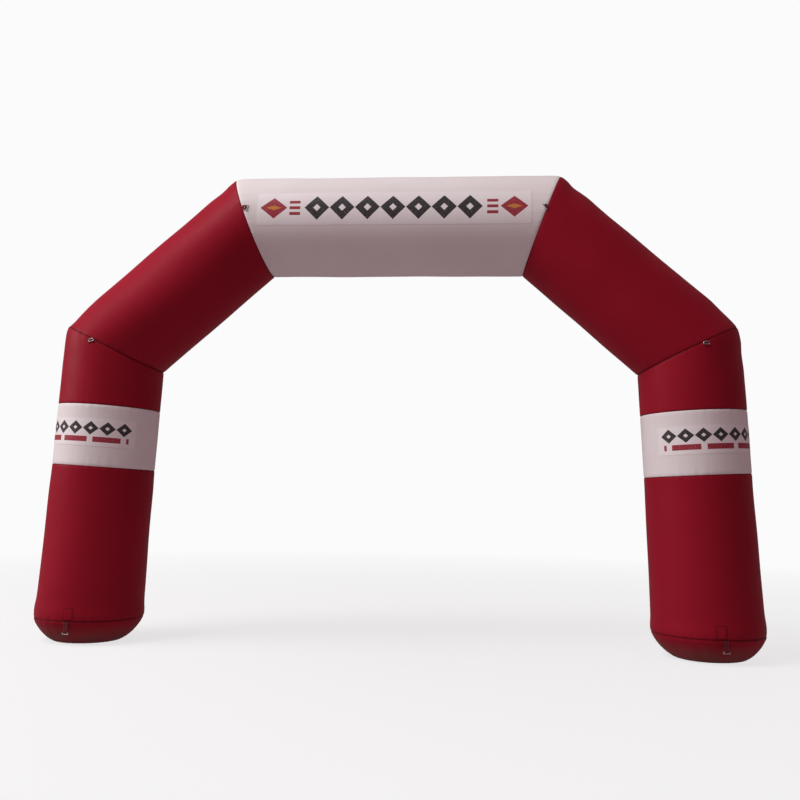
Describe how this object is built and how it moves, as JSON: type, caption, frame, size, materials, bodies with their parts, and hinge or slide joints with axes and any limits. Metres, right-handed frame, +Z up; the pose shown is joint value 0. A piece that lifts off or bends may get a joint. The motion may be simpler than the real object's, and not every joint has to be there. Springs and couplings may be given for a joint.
{
  "type": "inflatable arch",
  "caption": "Air-filled archway of round cloth tube with mitred bends, flat round feet, contrasting panels, printed patches and D-rings on sewn tabs for guy ropes.",
  "frame": {"origin": "on the ground, midway between the two feet and on the plane through the tube's axis", "axes": "+X along the span towards the right leg as seen from the front, -Y the printed front, +Z up"},
  "size_m": [5.987, 0.8973, 3.953],
  "materials": {
    "red_cloth": "coated woven polyester, slight sheen",
    "white_cloth": "coated woven polyester, slight sheen",
    "patch_cloth": "printed smooth coated sheet",
    "webbing": "ribbed matt webbing",
    "plated_steel": "dull zinc plating"
  },
  "bodies": {
    "root": {"beam": "white_cloth", "banner_patch": "patch_cloth", "arm_left": "red_cloth", "leg_upper_left": "red_cloth", "band_left": "white_cloth", "leg_lower_left": "red_cloth", "foot_left": "red_cloth", "leg_patch_left": "patch_cloth", "foot_patch_left": "red_cloth", "arm_right": "red_cloth", "leg_upper_right": "red_cloth", "band_right": "white_cloth", "leg_lower_right": "red_cloth", "foot_right": "red_cloth", "leg_patch_right": "patch_cloth", "foot_patch_right": "red_cloth", "ring_crown_left": "plated_steel", "tab_crown_left": "webbing", "ring_crown_right": "plated_steel", "tab_crown_right": "webbing", "ring_shoulder_left": "plated_steel", "tab_shoulder_left": "webbing", "ring_shoulder_right": "plated_steel", "tab_shoulder_right": "webbing", "ring_foot_left": "plated_steel", "tab_foot_left": "webbing", "ring_foot_right": "plated_steel", "tab_foot_right": "webbing"}
  },
  "joints": []
}
